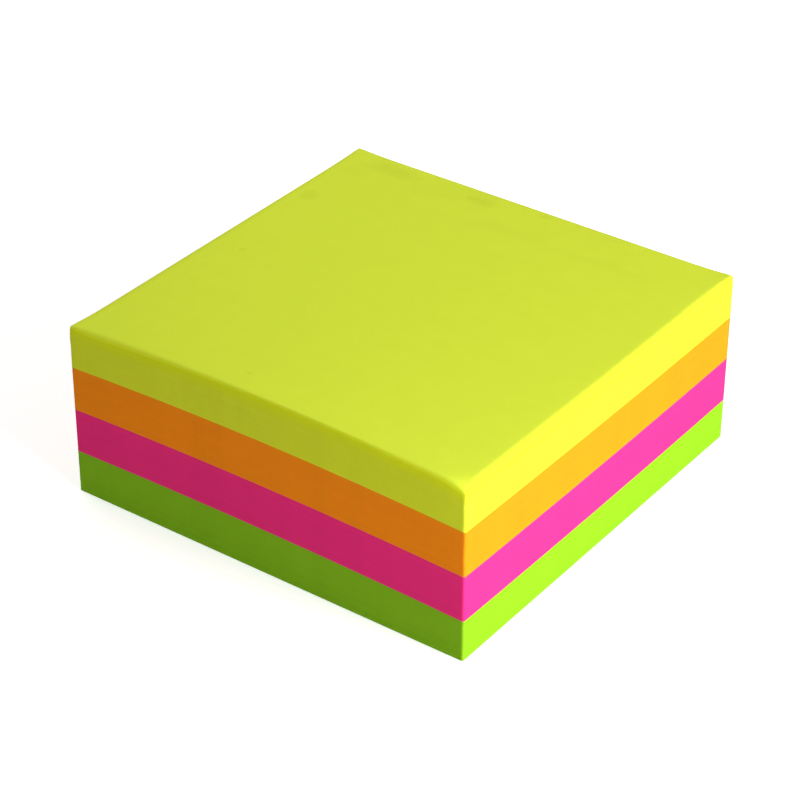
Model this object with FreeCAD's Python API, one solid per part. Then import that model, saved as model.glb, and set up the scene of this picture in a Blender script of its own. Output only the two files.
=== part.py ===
import FreeCAD, Part

import os
from collections import namedtuple
from math import copysign

# Cube of repositionable notes: one block of square paper sheets in four colour runs,
# green at the base, then pink, orange and yellow on top. Every sheet carries a band of
# adhesive along its back edge, so the stack is tight there. The front edge is loose: its
# sheets stand a little proud in the middle, and the right edge dips a little.
# Millimetres, +Z up. The origin is the middle of the underside, +X is to the right and
# the loose front edge faces -Y.

# Plan of every sheet
SHEET_WIDTH = 76.0
SHEET_DEPTH = 76.0

# Thickness of each colour run, halfway from the left side to the right
GREEN_THICKNESS = 7.5
PINK_THICKNESS = 8.0
ORANGE_THICKNESS = 7.9
YELLOW_THICKNESS = 7.75

# How much thicker each run is along the left side than along the right. The lowest sheets
# wedge the runs above them to the right, and those make up for it.
GREEN_WEDGE = 0.4
PINK_WEDGE = -0.2
ORANGE_WEDGE = -0.1
YELLOW_WEDGE = -0.1

# How much each run adds to the swell in the middle of the loose front edge
GREEN_SWELL = 0.6
PINK_SWELL = 0.15
ORANGE_SWELL = 0.25
YELLOW_SWELL = 0.3

# How far the sheets above the green run sag in the middle of the right edge
RIGHT_SAG = 0.3

# The cut rolls the top sheets over along each side. These are the widths of that roll at
# the corners of the top, and it narrows evenly from one corner to the next.
ROLL_FRONT_LEFT = 1.2
ROLL_FRONT_RIGHT = 0.9
ROLL_BACK_RIGHT = 1.1
ROLL_BACK_LEFT = 0.8

# The roll is a parabola, level at the top and upright at the side. Its middle lies this
# share of its width from both.
ROLL_MIDDLE = 0.25

LEFT = -SHEET_WIDTH / 2
RIGHT = SHEET_WIDTH / 2
FRONT = -SHEET_DEPTH / 2
BACK = SHEET_DEPTH / 2

# What a colour run adds to the stack, and the height, wedge and swell of the sheet on top of it
Run = namedtuple("Run", "thickness wedge swell")
Level = namedtuple("Level", "height wedge swell sag")

# A corner of the top: its place in the plan and the width of the roll there
Corner = namedtuple("Corner", "x y roll")


def on_sheet(level, x, y, drop=0.0):
    """Point of a sheet's surface above a place in the plan, lowered by a drop."""
    across = x / RIGHT
    along = y / BACK
    wedge = level.wedge * across / 2
    swell = level.swell * (1 - across ** 2) * ((1 - along) / 2) ** 2
    sag = level.sag * (1 - along ** 2) * ((1 + across) / 2) ** 2
    return FreeCAD.Vector(x, y, level.height - wedge + swell - sag - drop)


def curve_poles(start, middle, end):
    """Poles of the arc from start to end that passes through middle halfway."""
    return start, middle * 2 - (start + end) * 0.5, end


def patch_through(grid):
    """Smooth patch that passes through three rows of three points."""
    rows = [curve_poles(*row) for row in grid]
    columns = [curve_poles(*column) for column in zip(*rows)]
    patch = Part.BezierSurface()
    patch.increase(2, 2)
    for i, column in enumerate(columns, start=1):
        for j, pole in enumerate(column, start=1):
            patch.setPole(i, j, pole)
    return patch.toShape()


def whole_sheet(level):
    """Sheet surface as the knife leaves it, out to its four edges."""
    grid = [[on_sheet(level, x, y) for x in (LEFT, 0, RIGHT)] for y in (FRONT, 0, BACK)]
    return [patch_through(grid)]


def roll_line(level, start, end, inset_share, drop_share):
    """Three points of a line along one side of the roll: a corner, the middle and the next corner.

    The line lies in from the sides, and below the top, by shares of the roll's width.
    """
    places = []
    for corner in (start, end):
        inset = inset_share * corner.roll
        plan = (corner.x - copysign(inset, corner.x), corner.y - copysign(inset, corner.y))
        places.append(FreeCAD.Vector(*plan, drop_share * corner.roll))
    first, last = places
    return [on_sheet(level, *place) for place in (first, (first + last) * 0.5, last)]


def roll_strip(level, start, end):
    """The roll along one side, from where it leaves the flat of the top to where the side begins."""
    inner = roll_line(level, start, end, 1.0, 0.0)
    halfway = roll_line(level, start, end, ROLL_MIDDLE, ROLL_MIDDLE)
    outer = roll_line(level, start, end, 0.0, 1.0)
    return patch_through([inner, halfway, outer])


def flat_of_top(level, front_left, front_right, back_right, back_left):
    """The top inside its rolls, read in three lines from front to back."""
    front = roll_line(level, front_left, front_right, 1.0, 0.0)
    back = roll_line(level, back_left, back_right, 1.0, 0.0)
    _, left, _ = roll_line(level, front_left, back_left, 1.0, 0.0)
    _, right, _ = roll_line(level, front_right, back_right, 1.0, 0.0)
    centre = on_sheet(level, (left.x + right.x) / 2, (left.y + right.y) / 2)
    return patch_through([front, [left, centre, right], back])


def rolled_sheet(level):
    """Top sheet surface: its flat, and a roll along each side that meets the next in a mitre."""
    corners = [
        Corner(LEFT, FRONT, ROLL_FRONT_LEFT),
        Corner(RIGHT, FRONT, ROLL_FRONT_RIGHT),
        Corner(RIGHT, BACK, ROLL_BACK_RIGHT),
        Corner(LEFT, BACK, ROLL_BACK_LEFT),
    ]
    following = corners[1:] + corners[:1]
    strips = [roll_strip(level, start, end) for start, end in zip(corners, following)]
    return [flat_of_top(level, *corners)] + strips


def edge_at(surface, axis, place):
    """The edge of a sheet surface that lies at one place along an axis."""
    def distance(edge):
        return max(abs(getattr(end.Point, axis) - place) for end in edge.Vertexes)
    return min([edge for face in surface for edge in face.Edges], key=distance)


def cut_side(lower, upper, axis, place):
    """Flat side that the knife leaves between two sheet surfaces."""
    bottom = edge_at(lower, axis, place)
    top = edge_at(upper, axis, place)
    uprights = []
    for end in bottom.Vertexes:
        above = min(top.Vertexes, key=lambda corner: corner.Point.distanceToPoint(end.Point))
        uprights.append(Part.makeLine(end.Point, above.Point))
    outline = Part.Wire(Part.__sortEdges__([bottom, top] + uprights))
    return Part.Face(outline)


def run_block(lower, upper):
    """Solid block of the sheets between a lower and an upper sheet surface."""
    planes = (("x", LEFT), ("x", RIGHT), ("y", FRONT), ("y", BACK))
    sides = [cut_side(lower, upper, axis, place) for axis, place in planes]
    shell = Part.makeShell(lower + upper + sides)
    shell.sewShape()
    block = Part.makeSolid(shell)
    if block.Volume < 0:
        block.reverse()
    return block


def stack_levels(runs):
    """The sheet on top of each run, from the lowest run up."""
    levels = []
    height = wedge = swell = 0.0
    for run in runs:
        height += run.thickness
        wedge += run.wedge
        swell += run.swell
        levels.append(Level(height, wedge, swell, RIGHT_SAG))
    return levels


def build_pad():
    """Each colour run by name, stacked from the underside up."""
    runs = {
        "green_sheets": Run(GREEN_THICKNESS, GREEN_WEDGE, GREEN_SWELL),
        "pink_sheets": Run(PINK_THICKNESS, PINK_WEDGE, PINK_SWELL),
        "orange_sheets": Run(ORANGE_THICKNESS, ORANGE_WEDGE, ORANGE_SWELL),
        "yellow_sheets": Run(YELLOW_THICKNESS, YELLOW_WEDGE, YELLOW_SWELL),
    }
    *inner_levels, top_level = stack_levels(runs.values())
    underside = [Part.makePlane(SHEET_WIDTH, SHEET_DEPTH, FreeCAD.Vector(LEFT, FRONT, 0))]
    surfaces = [underside] + [whole_sheet(level) for level in inner_levels] + [rolled_sheet(top_level)]
    blocks = [run_block(lower, upper) for lower, upper in zip(surfaces, surfaces[1:])]
    return dict(zip(runs, blocks))


os.makedirs("parts", exist_ok=True)
for node, shape in build_pad().items():
    shape.exportStep("parts/" + node + ".step")
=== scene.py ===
import random
from collections import namedtuple
from math import copysign, cos, radians, sin, tau

import bpy
import numpy as np
from mathutils import Matrix, Vector


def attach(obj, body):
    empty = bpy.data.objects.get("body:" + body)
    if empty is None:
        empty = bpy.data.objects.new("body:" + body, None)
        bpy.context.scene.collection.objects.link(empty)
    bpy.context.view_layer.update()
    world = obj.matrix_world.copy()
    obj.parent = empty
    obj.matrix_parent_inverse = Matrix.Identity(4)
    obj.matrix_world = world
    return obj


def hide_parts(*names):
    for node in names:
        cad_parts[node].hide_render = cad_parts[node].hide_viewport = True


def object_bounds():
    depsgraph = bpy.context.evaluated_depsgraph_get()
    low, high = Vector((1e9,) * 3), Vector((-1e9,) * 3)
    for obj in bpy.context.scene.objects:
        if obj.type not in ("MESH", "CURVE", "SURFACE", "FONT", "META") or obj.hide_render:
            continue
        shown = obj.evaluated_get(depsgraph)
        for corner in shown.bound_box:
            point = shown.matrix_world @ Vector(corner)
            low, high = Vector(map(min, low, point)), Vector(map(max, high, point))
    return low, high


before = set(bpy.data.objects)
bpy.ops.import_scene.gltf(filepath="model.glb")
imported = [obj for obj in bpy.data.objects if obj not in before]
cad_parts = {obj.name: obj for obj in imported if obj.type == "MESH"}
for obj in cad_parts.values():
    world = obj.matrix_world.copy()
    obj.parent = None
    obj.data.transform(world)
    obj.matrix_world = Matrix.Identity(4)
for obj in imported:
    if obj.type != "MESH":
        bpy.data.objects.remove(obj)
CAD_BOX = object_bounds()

bl_info = {
    "name": "Neon note cube",
    "version": (1, 0, 0),
    "blender": (4, 5, 0),
    "location": "3D View > Sidebar > Note Cube",
    "description": "Builds a cube of neon sticky notes, with every cut edge, and its stage",
    "category": "Object",
}

# The frame: metres, +Z up, the loose front edge of the notes at -Y, the glued one at +Y.
MM = 0.001
LOW, HIGH = CAD_BOX
SHEET_SIDE = HIGH.x - LOW.x
HALF_SIDE = SHEET_SIDE / 2
BODY = "root"

# Sheet surfaces of the block, from the underside up: the height halfway across, how much
# higher the left side is than the right, the swell in the middle of the loose front edge and
# the dip in the middle of the right edge.
Level = namedtuple("Level", "height wedge swell sag")
UNDERSIDE = Level(0.0, 0.0, 0.0, 0.0)
GREEN_TOP = Level(7.5 * MM, 0.4 * MM, 0.6 * MM, 0.3 * MM)
PINK_TOP = Level(15.5 * MM, 0.2 * MM, 0.75 * MM, 0.3 * MM)
ORANGE_TOP = Level(23.4 * MM, 0.1 * MM, 1.0 * MM, 0.3 * MM)
YELLOW_TOP = Level(31.12 * MM, 0.0, 1.3 * MM, 0.3 * MM)

# Width of the rolled-over rim at the corners of the top sheet, and how much narrower it is in
# the middle of the front. Its sides run into each other softly. Over the upper share of the run
# the cut leans in a little, and takes with it what lies within the reach.
Rim = namedtuple("Rim", "front_left front_right back_right back_left front_dip")
TOP_RIM = Rim(1.2 * MM, 0.9 * MM, 1.1 * MM, 0.8 * MM, 0.5 * MM)
MITRE_SOFTNESS = 3.0
LEAN = 0.12 * MM
LEAN_SHARE = 0.25
LEAN_REACH = 1.5 * MM

# Towards these corners of the plan the rim is rolled less
Place = namedtuple("Place", "x y")
TIGHT_CORNERS = (
    Place(-HALF_SIDE, -HALF_SIDE),
    Place(HALF_SIDE, HALF_SIDE),
    Place(-HALF_SIDE, HALF_SIDE),
)
TIGHTNESS = 0.6
TIGHT_REACH = 4.0 * MM

# The front right corner of the top is worn down
WORN_CORNER = Place(HALF_SIDE, -HALF_SIDE)
WEAR = 0.9 * MM
WEAR_REACH = 4.0 * MM

# Painted shade on the rolled rim: how strongly the paper's colour is deepened halfway down each
# side of the roll, and at its cut edge
RimShade = namedtuple("RimShade", "halfway edge")
FRONT_RIM_SHADE = RimShade(0.25, 1.0)
BACK_RIM_SHADE = RimShade(0.4, 0.5)
LEFT_RIM_SHADE = RimShade(0.4, 0.5)
RIGHT_RIM_SHADE = RimShade(0.6, 0.25)

# Each colour run: its piece, CAD node, finish, lowest and highest surface, rim and seed
Run = namedtuple("Run", "piece node slot lower upper rim seed")
GREEN_RUN = Run("green_notes", "green_sheets", "green_paper", UNDERSIDE, GREEN_TOP, None, 11)
PINK_RUN = Run("pink_notes", "pink_sheets", "pink_paper", GREEN_TOP, PINK_TOP, None, 23)
ORANGE_RUN = Run("orange_notes", "orange_sheets", "orange_paper", PINK_TOP, ORANGE_TOP, None, 37)
YELLOW_RUN = Run(
    "yellow_notes", "yellow_sheets", "yellow_paper", ORANGE_TOP, YELLOW_TOP, TOP_RIM, 53)

# The flat model of a run, before it is laid in the block. Lines are scored this far in from each
# side: for the small arcs at the corners, and then for the flat or the roll beside them. The
# edge of a sheet is rounded above and below by a share of its thickness.
GRID_CELLS = 8
CORNER_LINES = (0.06 * MM, 0.18 * MM, 0.42 * MM)
PLAIN_LINES = (0.6 * MM,)
ROLL_LINES = (0.75 * MM, 1.2 * MM, 1.8 * MM, 2.5 * MM, 3.8 * MM, 6.3 * MM)
CORNER_RADIUS = 0.35 * MM
WORN_CORNER_RADIUS = 0.5 * MM
FLAT_PITCH = 0.1 * MM
EDGE_ROUND_SHARE = 0.18
MERGE_DISTANCE = 0.001 * MM
SNAP = 0.02 * MM
SMOOTH_ANGLE = radians(32)

# Takes the upper lip of a sheet's edge into that sheet, in shares of a sheet
SHEET_NUDGE = 0.01

# How the block drifts back from the cut, as waves of so many turns and such a size, how often a
# single sheet stands back further than the rest, and what is left of all this at the glued back
DRIFT_WAVES = ((1.3, 1.0), (2.9, 0.55), (6.1, 0.3))
DEEP_SHEET_CHANCE = 0.05
DEEP_SHEET_FACTOR = 3.0
BACK_TIGHTNESS = 0.4

# Only what lies this near the cut strays with its sheet, and it fades out inwards
STRAY_REACH = 0.25 * MM
STRAY_FADE = 0.2 * MM

# Faint marks on the top sheet: place in the plan and reach to the right and to the back. They
# fade from an inner to an outer share of that reach, and go through the sheet's whole swell.
SMUDGES = (
    (-27.7 * MM, 34.2 * MM, 6.5 * MM, 2.3 * MM),
    (-9.5 * MM, 34.2 * MM, 3.4 * MM, 1.5 * MM),
    (2.3 * MM, 36.2 * MM, 1.8 * MM, 1.0 * MM),
    (-34.2 * MM, 18.6 * MM, 2.3 * MM, 1.9 * MM),
    (-31.2 * MM, -3.0 * MM, 0.8 * MM, 0.7 * MM),
    (-5.3 * MM, -33.4 * MM, 0.8 * MM, 0.6 * MM),
)
SMUDGE_TONE = 0.06
SMUDGE_INNER = 0.2
SMUDGE_OUTER = 1.2
SMUDGE_RAGGEDNESS = 0.9
THROUGH = 1.0

# Painted shade on the rolled rim: what the paper keeps there of each part of its colour
RIM_SHADE_FACTORS = (1.03, 0.98, 0.24)

# Cut edges look deeper than the face of a sheet, because light goes astray between them
EDGE_LEVEL = (0.93, 0.93, 0.93)
YELLOW_EDGE_LEVEL = (1.07, 0.985, 1.09)
EDGE_DEEPENING = 1.155

# Finish of the paper. Its edges are more even than its faces, where fibres change the gloss.
PAPER_SPECULAR = 0.06
FACE_ROUGHNESS = 0.85
FIBRE_ROUGHNESS = 0.1
EDGE_ROUGHNESS = 0.8
RELIEF_STRENGTH = 0.25
RELIEF_DEPTH = 0.02 * MM

# The adhesive darkens and smooths the lowest sheet, and hardly shows through the top one. It
# lies in blotches, where a pattern rises from one value to another.
BASE_GLUE_TONE = 0.10
BASE_GLUE_GLOSS = 0.2
TOP_GLUE_TONE = 0.02
BLOTCH_FROM = -0.02
BLOTCH_TO = 0.12

# Patterns in the paper and on the floor: fineness along each axis, detail and roughness
Pattern = namedtuple("Pattern", "scale detail roughness")
CLOUDS = Pattern((260, 260, 260), 4.0, 0.5)
LONG_FIBRES = Pattern((2200, 7000, 4000), 2.0, 0.6)
CROSS_FIBRES = Pattern((8000, 2600, 4000), 2.0, 0.6)
WIDE_STREAKS = Pattern((230, 230, 9), 3.0, 0.6)
FINE_STREAKS = Pattern((2600, 2600, 60), 2.0, 0.5)
FRAYED_ENDS = Pattern((9000, 9000, 14000), 2.0, 0.5)
GLUE_BLOTCHES = Pattern((90, 160, 90), 2.0, 0.5)
SMUDGE_RAGS = Pattern((500, 500, 500), 3.0, 0.5)
FLOOR_GRAINS = Pattern((900, 900, 900), 2.0, 0.5)
FINE_STREAK_SHARE = 0.25
NOISE_MEAN = 0.5
TONE_MEAN = 0.5

# Camera at the photograph's place
CAMERA_AZIMUTH = radians(35.89)
CAMERA_ELEVATION = radians(32.61)
CAMERA_ROLL = radians(0.3)
CAMERA_DISTANCE = 441.5 * MM
CAMERA_OFFSET = (0.97 * MM, -10.3 * MM)
CAMERA_LENS = 120.03
CAMERA_SENSOR = 36.0
CLIP_NEAR = 0.01
CLIP_FAR = 20.0

# Stage. The floor's own glow makes up for the lamps' fall-off: it grows between two distances.
FLOOR_SIZE = 8.0
FLOOR_DROP = 0.02 * MM
FLOOR_SPECKLE = 0.01
FLOOR_GLOW = 0.42
FAR_GLOW = 0.82
GLOW_FROM = 0.22
GLOW_TO = 0.75
WHITE = (1.0, 1.0, 1.0, 1.0)
AIM = Vector((0.0, 0.0, 15 * MM))
KEY_PLACE = Vector((0.42, -0.045, 0.11))
KEY_SIZE = 0.24
TOP_PLACE = Vector((-0.26, 0.115, 0.445))
TOP_SIZE = 0.6


class NoteCubeSizes(bpy.types.PropertyGroup):
    """Sizes of the sheets that a user may change."""
    sheets: bpy.props.IntProperty(
        name="Sheets per colour", description="Sheets in each colour run",
        default=80, min=10, max=120)
    groove: bpy.props.FloatProperty(
        name="Gap depth", description="Depth of the gap between the edges of two sheets",
        default=0.035 * MM, min=0.0, unit="LENGTH", precision=5)
    stray: bpy.props.FloatProperty(
        name="Stray", description="Most that a usual sheet stands back from the cut",
        default=0.02 * MM, min=0.0, unit="LENGTH", precision=5)
    drift: bpy.props.FloatProperty(
        name="Drift", description="How far the stack wanders back from the cut over its height",
        default=0.04 * MM, min=0.0, unit="LENGTH", precision=5)


class NoteCubeColours(bpy.types.PropertyGroup):
    """Paper colours."""
    green: bpy.props.FloatVectorProperty(
        name="Green", description="Colour of the green paper", subtype="COLOR",
        default=(0.293, 0.555, 0.023), min=0.0, max=1.0)
    pink: bpy.props.FloatVectorProperty(
        name="Pink", description="Colour of the pink paper", subtype="COLOR",
        default=(0.876, 0.05, 0.268), min=0.0, max=1.0)
    orange: bpy.props.FloatVectorProperty(
        name="Orange", description="Colour of the orange paper", subtype="COLOR",
        default=(0.928, 0.33, 0.0145), min=0.0, max=1.0)
    yellow: bpy.props.FloatVectorProperty(
        name="Yellow", description="Colour of the yellow paper", subtype="COLOR",
        default=(0.65, 0.755, 0.043), min=0.0, max=1.0)
    floor: bpy.props.FloatVectorProperty(
        name="Floor", description="Colour of the floor", subtype="COLOR",
        default=(0.93, 0.93, 0.93), min=0.0, max=1.0)


class NoteCubeLight(bpy.types.PropertyGroup):
    """Strength of the studio light."""
    key: bpy.props.FloatProperty(
        name="Key", description="Power of the soft lamp at the right",
        default=3.5, min=0.0, unit="POWER")
    top: bpy.props.FloatProperty(
        name="Top", description="Power of the soft lamp above",
        default=1.62, min=0.0, unit="POWER")
    room: bpy.props.FloatProperty(
        name="Room", description="Level of the light from all round", default=0.24, min=0.0)


def start_clean():
    """Leaves edit mode and deselects everything."""
    if bpy.context.mode != "OBJECT":
        bpy.ops.object.mode_set(mode="OBJECT")
    bpy.ops.object.select_all(action="DESELECT")


def choose(*pieces):
    """Selects pieces alone and makes the first one active."""
    start_clean()
    for piece in pieces:
        piece.select_set(True)
    bpy.context.view_layer.objects.active = pieces[0]


def edit_all(select_mode="FACE"):
    """Enters edit mode with everything selected."""
    bpy.ops.object.mode_set(mode="EDIT")
    bpy.ops.mesh.select_mode(type=select_mode)
    bpy.ops.mesh.select_all(action="SELECT")


def leave_edit():
    """Goes back to object mode."""
    bpy.ops.object.mode_set(mode="OBJECT")


def copy_of(piece, name):
    """A copy of a piece with its own mesh."""
    choose(piece)
    bpy.ops.object.duplicate(linked=False)
    twin = bpy.context.active_object
    twin.name = twin.data.name = name
    return twin


def score_lines(side, lines):
    """Cuts lines along each side of the selected grid."""
    for line in lines:
        place = side / 2 - line
        for axis in (Vector((1, 0, 0)), Vector((0, 1, 0))):
            for way in (1, -1):
                bpy.ops.mesh.select_all(action="SELECT")
                bpy.ops.mesh.bisect(
                    plane_co=axis * place * way, plane_no=axis, threshold=MERGE_DISTANCE)


def soften_corners(piece, side, rolled):
    """Pulls what lies outside the small arc at each corner in to the arc."""
    for vertex in piece.data.vertices:
        worn = rolled and vertex.co.x * WORN_CORNER.x > 0 and vertex.co.y * WORN_CORNER.y > 0
        radius = WORN_CORNER_RADIUS if worn else CORNER_RADIUS
        centre = side / 2 - radius
        arm = Vector((abs(vertex.co.x) - centre, abs(vertex.co.y) - centre))
        if min(arm) > 0 and arm.length > radius:
            arm *= radius / arm.length
            vertex.co.x = copysign(centre + arm.x, vertex.co.x)
            vertex.co.y = copysign(centre + arm.y, vertex.co.y)


def model_sheet_face(groove, rolled):
    """One flat sheet surface, as wide as the bottom of the gaps between the sheets."""
    side = SHEET_SIDE - 2 * groove
    start_clean()
    bpy.ops.mesh.primitive_grid_add(x_subdivisions=GRID_CELLS, y_subdivisions=GRID_CELLS, size=side)
    face = bpy.context.active_object
    face.name = face.data.name = "sheet_face"
    edit_all()
    score_lines(side, CORNER_LINES + (ROLL_LINES if rolled else PLAIN_LINES))
    leave_edit()
    soften_corners(face, side, rolled)
    return face


def model_sheet_edge(face, groove):
    """The cut edge all round one sheet: its outline drawn up, out, up and back in."""
    edge = copy_of(face, "sheet_edge")
    out = SHEET_SIDE / (SHEET_SIDE - 2 * groove)
    rounding = FLAT_PITCH * EDGE_ROUND_SHARE
    edit_all("EDGE")
    bpy.ops.mesh.region_to_loop()
    for rise, widen in ((rounding, out), (FLAT_PITCH - 2 * rounding, 1.0), (rounding, 1 / out)):
        bpy.ops.mesh.extrude_region_move(TRANSFORM_OT_translate={"value": (0, 0, rise)})
        bpy.ops.transform.resize(value=(widen, widen, 1), center_override=(0, 0, 0))
    leave_edit()
    keep_cut_edge(edge)
    return edge


def keep_cut_edge(edge):
    """Deletes the flat of the sheet and leaves the band round it."""
    choose(edge)
    edit_all()
    bpy.ops.mesh.select_all(action="DESELECT")
    leave_edit()
    for face in edge.data.polygons:
        face.select = all(abs(edge.data.vertices[i].co.z) < SNAP / 2 for i in face.vertices)
    bpy.ops.object.mode_set(mode="EDIT")
    bpy.ops.mesh.delete(type="FACE")
    leave_edit()


def stack_edges(edge, sheets):
    """Repeats one sheet's cut edge for the whole run."""
    choose(edge)
    bpy.ops.object.modifier_add(type="ARRAY")
    stack = edge.modifiers[-1]
    stack.count = sheets
    stack.use_relative_offset = False
    stack.use_constant_offset = True
    stack.constant_offset_displace = (0, 0, FLAT_PITCH)
    stack.use_merge_vertices = True
    stack.merge_threshold = MERGE_DISTANCE
    bpy.ops.object.modifier_apply(modifier=stack.name)


def close_run(edge, face, sheets):
    """Joins the stack of edges to its lowest and highest sheet surface."""
    top = copy_of(face, "top_face")
    edit_all()
    bpy.ops.transform.translate(value=(0, 0, FLAT_PITCH * sheets))
    leave_edit()
    choose(edge, face, top)
    bpy.ops.object.join()
    edit_all("VERT")
    bpy.ops.mesh.remove_doubles(threshold=MERGE_DISTANCE)
    bpy.ops.mesh.normals_make_consistent(inside=False)
    leave_edit()


def model_flat_run(name, sizes, rolled):
    """A flat, closed run of sheets with a fixed pitch, all edges flush."""
    face = model_sheet_face(sizes.groove, rolled)
    edge = model_sheet_edge(face, sizes.groove)
    stack_edges(edge, sizes.sheets)
    close_run(edge, face, sizes.sheets)
    edge.name = edge.data.name = name
    return edge


def surface_height(level, x, y):
    """Height of a sheet surface above places in the plan."""
    across = x / HALF_SIDE
    along = y / HALF_SIDE
    wedge = level.wedge * across / 2
    swell = level.swell * (1 - across ** 2) * ((1 - along) / 2) ** 2
    sag = level.sag * (1 - along ** 2) * ((1 + across) / 2) ** 2
    return level.height - wedge + swell - sag


def between(first, last, share):
    """A value part of the way from the first to the last."""
    return first + (last - first) * share


def arch(share):
    """Rises from 0 at both ends of a share to 1 halfway."""
    return 4 * share * (1 - share)


def near_top(share):
    """Rises from 0 to 1 over the upper share of a run, where the cut leans in."""
    return np.clip((share - 1 + LEAN_SHARE) / LEAN_SHARE, 0, 1)


def looseness(x, y):
    """Share of the rim's full roll, which falls towards its tight corners."""
    loose = 1.0
    for corner in TIGHT_CORNERS:
        away = np.hypot(x - corner.x, y - corner.y) / TIGHT_REACH
        loose = loose - TIGHTNESS * np.exp(-away ** 2)
    return loose


def roll_rim(rim, x, y, groove):
    """How far the rolled rim lies below the flat of the top sheet, and how much painted shade its
    paper gets.

    The gaps between the sheets' edges keep their form, because each sheet is rolled as far in as
    the bottom of its gap.
    """
    right_share = (1 + x / HALF_SIDE) / 2
    back_share = (1 + y / HALF_SIDE) / 2
    dip = rim.front_dip * arch(right_share)
    sides = (
        (between(rim.front_left, rim.front_right, right_share) - dip, HALF_SIDE + y, FRONT_RIM_SHADE),
        (between(rim.back_left, rim.back_right, right_share), HALF_SIDE - y, BACK_RIM_SHADE),
        (between(rim.front_left, rim.back_left, back_share), HALF_SIDE + x, LEFT_RIM_SHADE),
        (between(rim.front_right, rim.back_right, back_share), HALF_SIDE - x, RIGHT_RIM_SHADE),
    )
    drop = rim_shade = 0.0
    loose = looseness(x, y)
    for roll, inset, weight in sides:
        turned = (1 - np.sqrt(np.clip((inset - groove) / roll / loose, 0, 1))) ** 2
        drop = drop + (roll * loose * turned) ** MITRE_SOFTNESS
        # Painted shade, deepest halfway down the roll and at its cut edge
        rim_shade = np.maximum(rim_shade, weight.halfway * arch(turned) + weight.edge * turned ** 2)
    worn = np.clip(1 - np.hypot(x - WORN_CORNER.x, y - WORN_CORNER.y) / WEAR_REACH, 0, 1) ** 2
    return drop ** (1 / MITRE_SOFTNESS) + WEAR * worn, rim_shade


def lean_in(co, share):
    """Leans the cut in towards the top of the block, and the sheet's outermost part with it."""
    lean = LEAN * near_top(share) ** 2
    for axis in (0, 1):
        inset = HALF_SIDE - np.abs(co[:, axis])
        near = np.clip(1 - inset / LEAN_REACH, 0, 1)
        co[:, axis] -= np.sign(co[:, axis]) * lean * near


def stand_back(sizes, draw):
    """How far each sheet of a run stands back from the cut along one side, at both ends of it."""
    phases = [draw.uniform(0, tau) for _ in DRIFT_WAVES]
    most = sum(size for _, size in DRIFT_WAVES)
    ends = []
    for i in range(sizes.sheets):
        share = i / sizes.sheets
        wave = sum(
            size * sin(tau * turns * share + phase)
            for (turns, size), phase in zip(DRIFT_WAVES, phases))
        drift = sizes.drift * (1 + wave / most) / 2
        deep = DEEP_SHEET_FACTOR if draw.random() < DEEP_SHEET_CHANCE else 1.0
        ends.append([drift + sizes.stray * deep * draw.random() for _ in range(2)])
    return np.array(ends)


def stray_sheets(co, sheet, sizes, seed):
    """Moves the outline of each sheet in from the cut, a little differently on each side."""
    draw = random.Random(seed)
    before = co.copy()
    for axis, other in ((0, 1), (1, 0)):
        for way in (-1, 1):
            ends = stand_back(sizes, draw)[sheet]
            share = (1 + before[:, other] / HALF_SIDE) / 2
            inset = ends[:, 0] * (1 - share) + ends[:, 1] * share
            tight = 1 - (1 - BACK_TIGHTNESS) * (1 + before[:, 1] / HALF_SIDE) / 2
            near = np.clip((STRAY_REACH - HALF_SIDE + before[:, axis] * way) / STRAY_FADE, 0, 1)
            co[:, axis] -= way * inset * tight * near


def lay_run(piece, run, sizes):
    """Lays a flat run in the block: strays its sheets, then fits it between its two surfaces."""
    mesh = piece.data
    flat = np.zeros(len(mesh.vertices) * 3)
    mesh.vertices.foreach_get("co", flat)
    co = flat.reshape(-1, 3).copy()
    share = co[:, 2] / (FLAT_PITCH * sizes.sheets)
    sheet = np.clip((co[:, 2] / FLAT_PITCH - SHEET_NUDGE).astype(int), 0, sizes.sheets - 1)
    low = surface_height(run.lower, co[:, 0], co[:, 1])
    high = surface_height(run.upper, co[:, 0], co[:, 1])
    drop = rim_shade = np.zeros(len(co))
    if run.rim:
        drop, rim_shade = roll_rim(run.rim, co[:, 0], co[:, 1], sizes.groove)
    high = high - drop
    # The painted rim shade only reaches the upper share of the run
    rim_shade = rim_shade * near_top(share)
    stray_sheets(co, sheet, sizes, run.seed)
    if run.rim:
        lean_in(co, share)
    co[:, 2] = low + (high - low) * share
    note_sheets(mesh, flat.reshape(-1, 3), sizes, run.seed)
    mesh.attributes.new("rim_shade", "FLOAT", "POINT").data.foreach_set("value", rim_shade)
    mesh.vertices.foreach_set("co", co.reshape(-1))
    mesh.update()


def note_sheets(mesh, flat, sizes, seed):
    """Notes on every face whether it is a cut edge, and the tone of its sheet."""
    draw = random.Random(seed)
    tones = [draw.random() for _ in range(sizes.sheets)]
    cut = []
    tone = []
    for face in mesh.polygons:
        heights = [flat[i][2] for i in face.vertices]
        middle = (min(heights) + max(heights)) / 2
        cut.append(1.0 if max(heights) - min(heights) > SNAP / 2 else 0.0)
        tone.append(tones[min(int(middle / FLAT_PITCH), sizes.sheets - 1)])
    mesh.attributes.new("cut_edge", "FLOAT", "FACE").data.foreach_set("value", cut)
    mesh.attributes.new("sheet_tone", "FLOAT", "FACE").data.foreach_set("value", tone)


def finish_piece(piece, material, run):
    """Shading, material and place of a finished piece."""
    choose(piece)
    bpy.ops.object.shade_smooth_by_angle(angle=SMOOTH_ANGLE)
    piece.data.materials.clear()
    piece.data.materials.append(material)
    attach(piece, BODY)
    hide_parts(run.node)


def build_run(context, run, colour, **finish):
    """Models, lays and finishes one colour run."""
    sizes = context.scene.note_cube_sizes
    piece = model_flat_run(run.piece, sizes, rolled=run.rim is not None)
    lay_run(piece, run, sizes)
    finish_piece(piece, paper_material(run.slot, colour, **finish), run)


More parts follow.
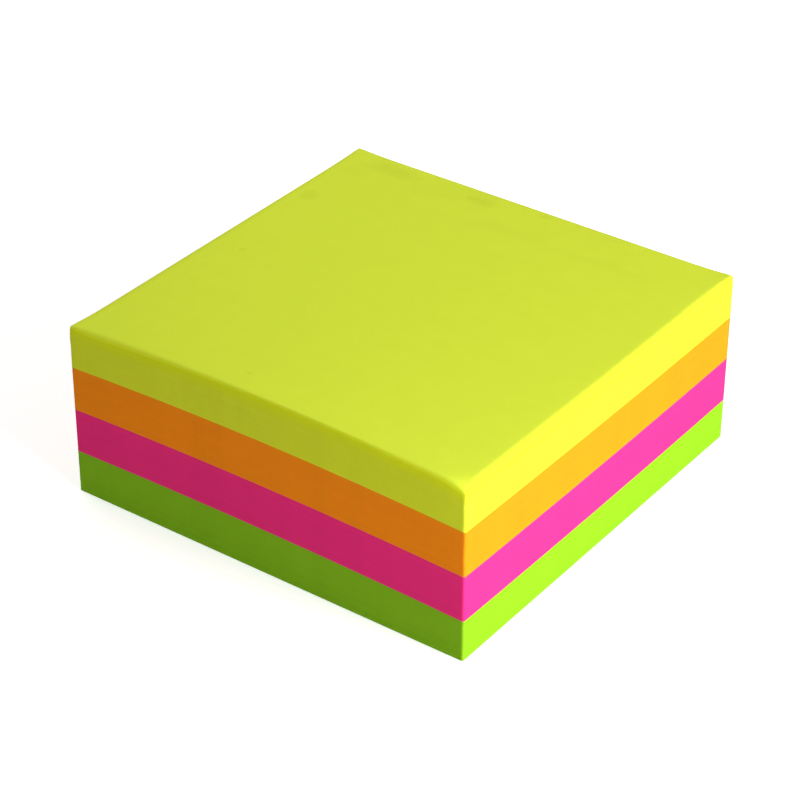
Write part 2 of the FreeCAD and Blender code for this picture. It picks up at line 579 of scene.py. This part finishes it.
# Materials


def add_node(tree, kind, **settings):
    """Adds a node with its settings."""
    node = tree.nodes.new(kind)
    for name, value in settings.items():
        setattr(node, name, value)
    return node


def math_node(tree, operation, first, second=None, third=None):
    """A maths node on values or sockets, and its result."""
    node = add_node(tree, "ShaderNodeMath", operation=operation)
    for socket, value in zip(node.inputs, (first, second, third)):
        feed(tree, socket, value)
    return node.outputs[0]


def feed(tree, socket, value):
    """Links an output to a socket, or sets the socket's value."""
    if isinstance(value, bpy.types.NodeSocket):
        tree.links.new(value, socket)
    elif value is not None:
        socket.default_value = value


def scaled_place(tree, scale):
    """Object coordinates with a scale of their own along each axis."""
    place = add_node(tree, "ShaderNodeTexCoord")
    mapping = add_node(tree, "ShaderNodeMapping")
    tree.links.new(place.outputs["Object"], mapping.inputs["Vector"])
    mapping.inputs["Scale"].default_value = scale
    return mapping.outputs["Vector"]


def noise(tree, pattern):
    """Noise of a pattern, with its mean taken away."""
    texture = add_node(tree, "ShaderNodeTexNoise")
    texture.inputs["Scale"].default_value = 1.0
    texture.inputs["Detail"].default_value = pattern.detail
    texture.inputs["Roughness"].default_value = pattern.roughness
    tree.links.new(scaled_place(tree, pattern.scale), texture.inputs["Vector"])
    return math_node(tree, "SUBTRACT", texture.outputs["Fac"], NOISE_MEAN)


def tinted(tree, colour, *changes):
    """A colour made lighter or darker by a sum of small changes."""
    level = 1.0
    for change, strength in changes:
        level = math_node(tree, "MULTIPLY_ADD", change, strength, level)
    scale = add_node(tree, "ShaderNodeVectorMath", operation="SCALE")
    feed(tree, scale.inputs[0], colour)
    feed(tree, scale.inputs["Scale"], level)
    return scale.outputs[0]


def new_group(name, inputs, outputs):
    """An empty shader node group with named sockets. Returns it with its two ends."""
    group = bpy.data.node_groups.new(name, "ShaderNodeTree")
    for label, (kind, value) in inputs.items():
        socket = group.interface.new_socket(label, in_out="INPUT", socket_type=kind)
        if value is not None:
            socket.default_value = value
    for label, kind in outputs.items():
        group.interface.new_socket(label, in_out="OUTPUT", socket_type=kind)
    return group, add_node(group, "NodeGroupInput"), add_node(group, "NodeGroupOutput")


def paper_face_group():
    """Uncoated paper: cloudy formation, short fibres and their relief."""
    known = bpy.data.node_groups.get("paper_face")
    if known:
        return known
    group, given, result = new_group(
        "paper_face",
        {
            "Colour": ("NodeSocketColor", None),
            "Cloudiness": ("NodeSocketFloat", 0.05),
            "Fibre Tone": ("NodeSocketFloat", 0.06),
        },
        {"Colour": "NodeSocketColor", "Height": "NodeSocketFloat"},
    )
    cloud = noise(group, CLOUDS)
    long_fibre = noise(group, LONG_FIBRES)
    cross_fibre = noise(group, CROSS_FIBRES)
    fibre = math_node(group, "ADD", long_fibre, cross_fibre)
    colour = tinted(
        group, given.outputs["Colour"],
        (cloud, given.outputs["Cloudiness"]), (fibre, given.outputs["Fibre Tone"]))
    feed(group, result.inputs["Colour"], colour)
    feed(group, result.inputs["Height"], fibre)
    return group


def cut_edge_group():
    """Cut sheet edges: a tone for each sheet, upright knife streaks and frayed fibres."""
    known = bpy.data.node_groups.get("cut_edge")
    if known:
        return known
    group, given, result = new_group(
        "cut_edge",
        {
            "Colour": ("NodeSocketColor", None),
            "Sheet Tone": ("NodeSocketFloat", TONE_MEAN),
            "Tone Spread": ("NodeSocketFloat", 0.05),
            "Streaks": ("NodeSocketFloat", 0.11),
            "Fray": ("NodeSocketFloat", 0.10),
        },
        {"Colour": "NodeSocketColor", "Height": "NodeSocketFloat"},
    )
    tone = math_node(group, "SUBTRACT", given.outputs["Sheet Tone"], TONE_MEAN)
    wide = noise(group, WIDE_STREAKS)
    fine = noise(group, FINE_STREAKS)
    streak = math_node(group, "MULTIPLY_ADD", fine, FINE_STREAK_SHARE, wide)
    fray = noise(group, FRAYED_ENDS)
    colour = tinted(
        group, given.outputs["Colour"], (tone, given.outputs["Tone Spread"]),
        (streak, given.outputs["Streaks"]), (fray, given.outputs["Fray"]))
    feed(group, result.inputs["Colour"], colour)
    feed(group, result.inputs["Height"], math_node(group, "ADD", fine, fray))
    return group


def glue_band_group():
    """Where the adhesive lies: a patchy band along the back edge of a sheet."""
    known = bpy.data.node_groups.get("glue_band")
    if known:
        return known
    group, given, result = new_group(
        "glue_band",
        {"Width": ("NodeSocketFloat", 0.012), "Softness": ("NodeSocketFloat", 0.002)},
        {"Patches": "NodeSocketFloat", "Band": "NodeSocketFloat"},
    )
    place = add_node(group, "ShaderNodeTexCoord")
    split = add_node(group, "ShaderNodeSeparateXYZ")
    group.links.new(place.outputs["Object"], split.inputs[0])
    inner = math_node(group, "SUBTRACT", HALF_SIDE, given.outputs["Width"])
    depth = math_node(group, "SUBTRACT", split.outputs["Y"], inner)
    band = add_node(group, "ShaderNodeMapRange", interpolation_type="SMOOTHSTEP")
    feed(group, band.inputs["Value"], depth)
    feed(group, band.inputs["From Min"], 0.0)
    feed(group, band.inputs["From Max"], given.outputs["Softness"])
    blotches = add_node(group, "ShaderNodeMapRange", interpolation_type="SMOOTHSTEP")
    feed(group, blotches.inputs["Value"], noise(group, GLUE_BLOTCHES))
    feed(group, blotches.inputs["From Min"], BLOTCH_FROM)
    feed(group, blotches.inputs["From Max"], BLOTCH_TO)
    feed(group, result.inputs["Band"], band.outputs["Result"])
    feed(group, result.inputs["Patches"], math_node(
        group, "MULTIPLY", band.outputs["Result"], blotches.outputs["Result"]))
    return group


def smudge_group():
    """One soft, uneven spot on a sheet."""
    known = bpy.data.node_groups.get("smudge")
    if known:
        return known
    group, given, result = new_group(
        "smudge",
        {"Centre": ("NodeSocketVector", None), "Reach": ("NodeSocketVector", None)},
        {"Mask": "NodeSocketFloat"},
    )
    place = add_node(group, "ShaderNodeTexCoord")
    away = add_node(group, "ShaderNodeVectorMath", operation="SUBTRACT")
    feed(group, away.inputs[0], place.outputs["Object"])
    feed(group, away.inputs[1], given.outputs["Centre"])
    scaled = add_node(group, "ShaderNodeVectorMath", operation="DIVIDE")
    feed(group, scaled.inputs[0], away.outputs[0])
    feed(group, scaled.inputs[1], given.outputs["Reach"])
    length = add_node(group, "ShaderNodeVectorMath", operation="LENGTH")
    feed(group, length.inputs[0], scaled.outputs[0])
    rags = noise(group, SMUDGE_RAGS)
    ragged = math_node(group, "MULTIPLY_ADD", rags, SMUDGE_RAGGEDNESS, length.outputs["Value"])
    fade = add_node(group, "ShaderNodeMapRange", interpolation_type="SMOOTHSTEP")
    feed(group, fade.inputs["Value"], ragged)
    feed(group, fade.inputs["From Min"], SMUDGE_OUTER)
    feed(group, fade.inputs["From Max"], SMUDGE_INNER)
    feed(group, result.inputs["Mask"], fade.outputs["Result"])
    return group


def use_group(tree, group, **values):
    """Places a group in a material and feeds its inputs."""
    node = add_node(tree, "ShaderNodeGroup", node_tree=group)
    for name, value in values.items():
        feed(tree, node.inputs[name.replace("_", " ")], value)
    return node


def attribute(tree, name):
    """A number noted on the faces or points of the piece."""
    return add_node(tree, "ShaderNodeAttribute", attribute_name=name).outputs["Fac"]


def mixed(tree, mask, first, second, data_type="RGBA"):
    """Two colours or numbers mixed by a mask."""
    mix = add_node(tree, "ShaderNodeMix", data_type=data_type)
    sockets = [socket for socket in mix.inputs if socket.enabled]
    for socket, value in zip(sockets, (mask, first, second)):
        feed(tree, socket, value)
    return [socket for socket in mix.outputs if socket.enabled][0]


def opaque(parts):
    """A colour with full alpha."""
    return (*parts, 1.0)


def sheet_face_finish(tree, colour, glue, glue_tone, smudges):
    """Colour and height of a sheet's face, with its adhesive and smudges."""
    face = use_group(tree, paper_face_group(), Colour=opaque(colour))
    marks = [(glue.outputs["Patches"], -glue_tone)]
    for x, y, width, depth in smudges:
        centre = (x, y, YELLOW_TOP.height)
        spot = use_group(tree, smudge_group(), Centre=centre, Reach=(width, depth, THROUGH))
        marks.append((spot.outputs["Mask"], -SMUDGE_TONE))
    return tinted(tree, face.outputs["Colour"], *marks), face.outputs["Height"]


def cut_edge_finish(tree, colour, edge_level):
    """Colour and height of the sheets' cut edges."""
    deep = opaque(level * part ** EDGE_DEEPENING for level, part in zip(edge_level, colour))
    edge = use_group(tree, cut_edge_group(), Colour=deep, Sheet_Tone=attribute(tree, "sheet_tone"))
    return edge.outputs["Colour"], edge.outputs["Height"]


def paper_relief(tree, height):
    """The normal that the fine relief of the paper makes."""
    bump = add_node(tree, "ShaderNodeBump")
    bump.inputs["Strength"].default_value = RELIEF_STRENGTH
    bump.inputs["Distance"].default_value = RELIEF_DEPTH
    feed(tree, bump.inputs["Height"], height)
    return bump.outputs["Normal"]


def paper_material(name, colour, edge_level=EDGE_LEVEL, glue_tone=0.0, glue_gloss=0.0, smudges=()):
    """Neon paper: sheet faces and cut edges in one material."""
    material = bpy.data.materials.new(name)
    material.use_nodes = True
    tree = material.node_tree
    shader = tree.nodes["Principled BSDF"]
    shader.inputs["Specular IOR Level"].default_value = PAPER_SPECULAR
    glue = use_group(tree, glue_band_group())
    face_colour, face_height = sheet_face_finish(tree, colour, glue, glue_tone, smudges)
    edge_colour, edge_height = cut_edge_finish(tree, colour, edge_level)
    cut = attribute(tree, "cut_edge")
    plain = mixed(tree, cut, face_colour, edge_colour)
    rim_shaded = opaque(part * share for part, share in zip(colour, RIM_SHADE_FACTORS))
    # Painted shade on the rolled rim deepens the paper's colour there
    feed(tree, shader.inputs["Base Color"], mixed(tree, attribute(tree, "rim_shade"), plain, rim_shaded))
    matte = math_node(tree, "MULTIPLY_ADD", face_height, FIBRE_ROUGHNESS, FACE_ROUGHNESS)
    face_matte = math_node(tree, "MULTIPLY_ADD", glue.outputs["Band"], -glue_gloss, matte)
    feed(tree, shader.inputs["Roughness"], mixed(tree, cut, face_matte, EDGE_ROUGHNESS, "FLOAT"))
    height = mixed(tree, cut, face_height, edge_height, "FLOAT")
    feed(tree, shader.inputs["Normal"], paper_relief(tree, height))
    return material


# Stage


def floor_glow(tree):
    """Glow of the floor, which makes up for the lamps' fall-off far from the block."""
    place = add_node(tree, "ShaderNodeTexCoord")
    away = add_node(tree, "ShaderNodeVectorMath", operation="LENGTH")
    feed(tree, away.inputs[0], place.outputs["Object"])
    ramp = add_node(tree, "ShaderNodeMapRange", interpolation_type="SMOOTHSTEP")
    settings = {
        "Value": away.outputs["Value"], "From Min": GLOW_FROM, "From Max": GLOW_TO,
        "To Min": FLOOR_GLOW, "To Max": FAR_GLOW,
    }
    for name, value in settings.items():
        feed(tree, ramp.inputs[name], value)
    return ramp.outputs["Result"]


def add_floor(colour):
    """A wide pale floor under the block."""
    start_clean()
    bpy.ops.mesh.primitive_plane_add(size=FLOOR_SIZE, location=(0, 0, -FLOOR_DROP))
    bpy.ops.object.transform_apply(location=True)
    floor = bpy.context.active_object
    floor.name = floor.data.name = "floor"
    material = bpy.data.materials.new("pale_floor")
    material.use_nodes = True
    tree = material.node_tree
    shader = tree.nodes["Principled BSDF"]
    shader.inputs["Specular IOR Level"].default_value = 0.0
    shader.inputs["Roughness"].default_value = 1.0
    speckle = noise(tree, FLOOR_GRAINS)
    feed(tree, shader.inputs["Base Color"], tinted(tree, tuple(colour), (speckle, FLOOR_SPECKLE)))
    shader.inputs["Emission Color"].default_value = WHITE
    glow = math_node(tree, "MULTIPLY", seen_directly(tree), floor_glow(tree))
    feed(tree, shader.inputs["Emission Strength"], glow)
    floor.data.materials.append(material)


def add_soft_lamp(name, place, size, power):
    """A square soft lamp that faces the block."""
    bpy.ops.object.light_add(type="AREA", location=place)
    lamp = bpy.context.active_object
    lamp.name = lamp.data.name = name
    lamp.data.shape = "SQUARE"
    lamp.data.size = size
    lamp.data.energy = power
    lamp.rotation_euler = (place - AIM).to_track_quat("Z", "Y").to_euler()


def seen_directly(tree):
    """1 where the camera looks, straight or by gloss or glass, and 0 for the light on the block."""
    path = add_node(tree, "ShaderNodeLightPath")
    seen = math_node(tree, "MAXIMUM", path.outputs["Is Camera Ray"], path.outputs["Is Glossy Ray"])
    return math_node(tree, "MAXIMUM", seen, path.outputs["Is Transmission Ray"])


def light_room(level):
    """Even light from all round, and a white surround where the camera looks past the floor."""
    world = bpy.data.worlds.new("studio")
    bpy.context.scene.world = world
    world.use_nodes = True
    tree = world.node_tree
    background = tree.nodes["Background"]
    background.inputs["Color"].default_value = WHITE
    feed(tree, background.inputs["Strength"], mixed(tree, seen_directly(tree), level, 1.0, "FLOAT"))


def add_camera():
    """The camera at the photograph's viewing angle and distance."""
    flat = cos(CAMERA_ELEVATION)
    back = Vector((sin(CAMERA_AZIMUTH) * flat, -cos(CAMERA_AZIMUTH) * flat, sin(CAMERA_ELEVATION)))
    right = Vector((0, 0, 1)).cross(back).normalized()
    up = back.cross(right)
    turned_right = right * cos(CAMERA_ROLL) + up * sin(CAMERA_ROLL)
    turned_up = up * cos(CAMERA_ROLL) - right * sin(CAMERA_ROLL)
    aside, above = CAMERA_OFFSET
    place = back * CAMERA_DISTANCE - turned_right * aside - turned_up * above
    bpy.ops.object.camera_add(location=place)
    camera = bpy.context.active_object
    camera.name = camera.data.name = "photo_camera"
    camera.rotation_euler = Matrix((turned_right, turned_up, back)).transposed().to_euler()
    camera.data.sensor_width = CAMERA_SENSOR
    camera.data.lens = CAMERA_LENS
    camera.data.clip_start = CLIP_NEAR
    camera.data.clip_end = CLIP_FAR
    bpy.context.scene.camera = camera


class NOTECUBE_OT_lower_notes(bpy.types.Operator):
    """Build the green, pink and orange runs of notes"""
    bl_idname = "note_cube.lower_notes"
    bl_label = "Green, pink and orange notes"

    def execute(self, context):
        colours = context.scene.note_cube_colours
        build_run(
            context, GREEN_RUN, colours.green, glue_tone=BASE_GLUE_TONE, glue_gloss=BASE_GLUE_GLOSS)
        build_run(context, PINK_RUN, colours.pink)
        build_run(context, ORANGE_RUN, colours.orange)
        return {"FINISHED"}


class NOTECUBE_OT_top_notes(bpy.types.Operator):
    """Build the yellow run of notes with its rolled-over rim"""
    bl_idname = "note_cube.top_notes"
    bl_label = "Yellow notes"

    def execute(self, context):
        colours = context.scene.note_cube_colours
        build_run(
            context, YELLOW_RUN, colours.yellow,
            edge_level=YELLOW_EDGE_LEVEL, glue_tone=TOP_GLUE_TONE, smudges=SMUDGES)
        return {"FINISHED"}


class NOTECUBE_OT_stage(bpy.types.Operator):
    """Add the floor, the soft lamps, the room light and the camera"""
    bl_idname = "note_cube.stage"
    bl_label = "Stage"

    def execute(self, context):
        scene = context.scene
        light = scene.note_cube_light
        add_floor(scene.note_cube_colours.floor)
        add_soft_lamp("key_lamp", KEY_PLACE, KEY_SIZE, light.key)
        add_soft_lamp("top_lamp", TOP_PLACE, TOP_SIZE, light.top)
        light_room(light.room)
        add_camera()
        scene.view_settings.view_transform = "Standard"
        return {"FINISHED"}


class NOTECUBE_PT_panel(bpy.types.Panel):
    """Lists the note cube's sizes, colours, light and operators"""
    bl_idname = "NOTECUBE_PT_panel"
    bl_label = "Note Cube"
    bl_space_type = "VIEW_3D"
    bl_region_type = "UI"
    bl_category = "Note Cube"

    def draw(self, context):
        layout = self.layout
        scene = context.scene
        for group in (scene.note_cube_sizes, scene.note_cube_colours, scene.note_cube_light):
            box = layout.box()
            for name in group.__annotations__:
                box.prop(group, name)
        for operator in (NOTECUBE_OT_lower_notes, NOTECUBE_OT_top_notes, NOTECUBE_OT_stage):
            layout.operator(operator.bl_idname)


CLASSES = (
    NoteCubeSizes,
    NoteCubeColours,
    NoteCubeLight,
    NOTECUBE_OT_lower_notes,
    NOTECUBE_OT_top_notes,
    NOTECUBE_OT_stage,
    NOTECUBE_PT_panel,
)


def register():
    """Makes the properties, operators and panel known."""
    for cls in CLASSES:
        bpy.utils.register_class(cls)
    bpy.types.Scene.note_cube_sizes = bpy.props.PointerProperty(type=NoteCubeSizes)
    bpy.types.Scene.note_cube_colours = bpy.props.PointerProperty(type=NoteCubeColours)
    bpy.types.Scene.note_cube_light = bpy.props.PointerProperty(type=NoteCubeLight)


def unregister():
    """Takes them away again."""
    del bpy.types.Scene.note_cube_light
    del bpy.types.Scene.note_cube_colours
    del bpy.types.Scene.note_cube_sizes
    for cls in reversed(CLASSES):
        bpy.utils.unregister_class(cls)


def main():
    """Builds the notes and their stage."""
    register()
    bpy.ops.note_cube.lower_notes()
    bpy.ops.note_cube.top_notes()
    bpy.ops.note_cube.stage()


if __name__ == "__main__":
    main()
